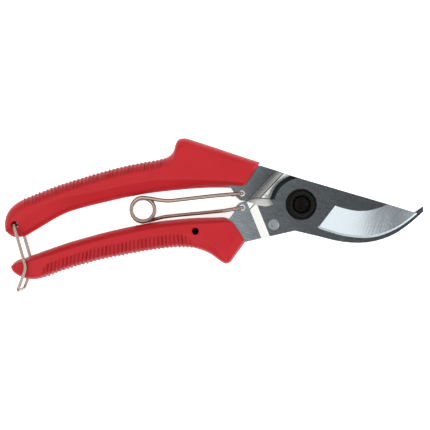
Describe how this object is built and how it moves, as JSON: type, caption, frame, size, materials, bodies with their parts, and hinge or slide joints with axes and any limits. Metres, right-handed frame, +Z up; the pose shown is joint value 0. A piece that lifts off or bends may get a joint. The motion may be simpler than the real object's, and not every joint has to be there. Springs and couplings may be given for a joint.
{
  "type": "pruning shears",
  "caption": "Bypass pruning shears: hooked counter blade and bevelled cutting blade on a pivot bolt, ribbed grips, wire torsion spring and swinging wire latch.",
  "frame": {"origin": "on the pivot's axis, on the flat of the pivot bolt's head, which the closed shears lie on", "axes": "+X from the handles to the jaws, +Y towards the upper grip, +Z up along the pivot, towards the nut"},
  "size_m": [0.2004, 0.073, 0.0184],
  "materials": {
    "brushed_steel": "fine brushed, dark satin",
    "red_plastic": "satin moulded",
    "black_steel": "black oxide",
    "bright_steel": "ground",
    "nickel_wire": "nickel plated"
  },
  "bodies": {
    "hook_member": {"hook_blade": "brushed_steel", "upper_grip": "red_plastic", "pivot_bolt": "black_steel", "pivot_washer": "black_steel", "pivot_nut": "black_steel"},
    "blade_member": {"cutting_blade": "brushed_steel", "lower_grip": "red_plastic", "stop_pin": "bright_steel"},
    "spring_upper": {"spring_upper_arm": "nickel_wire"},
    "spring_lower": {"spring_lower_arm": "nickel_wire"},
    "latch": {"latch_wire": "nickel_wire"}
  },
  "joints": [
    {"name": "main_pivot", "type": "hinge", "parent": "hook_member", "child": "blade_member", "pos_m": [0, 0, 0], "axis": [0, 0, 1], "range_deg": [0, 28]},
    {"name": "spring_upper_eye", "type": "hinge", "parent": "hook_member", "child": "spring_upper", "pos_m": [-0.028, 0.0053, 0.00925], "axis": [0, 0, 1], "range_deg": [0, 15.2]},
    {"name": "spring_coil", "type": "hinge", "parent": "spring_upper", "child": "spring_lower", "pos_m": [-0.0754, -0.0025, 0.00925], "axis": [0, 0, 1], "range_deg": [-16.2, 0]},
    {"name": "latch_hinge", "type": "hinge", "parent": "hook_member", "child": "latch", "pos_m": [-0.1356, -0.0097, 0.00925], "axis": [0, 0, 1], "range_deg": [-110, 0]}
  ],
  "couplings": [
    {"joint": "spring_upper_eye", "follows": "main_pivot", "ratio": 0.5413},
    {"joint": "spring_coil", "follows": "main_pivot", "ratio": -0.5774},
    {"joint": "latch_hinge", "follows": "main_pivot", "ratio": -3.92}
  ]
}
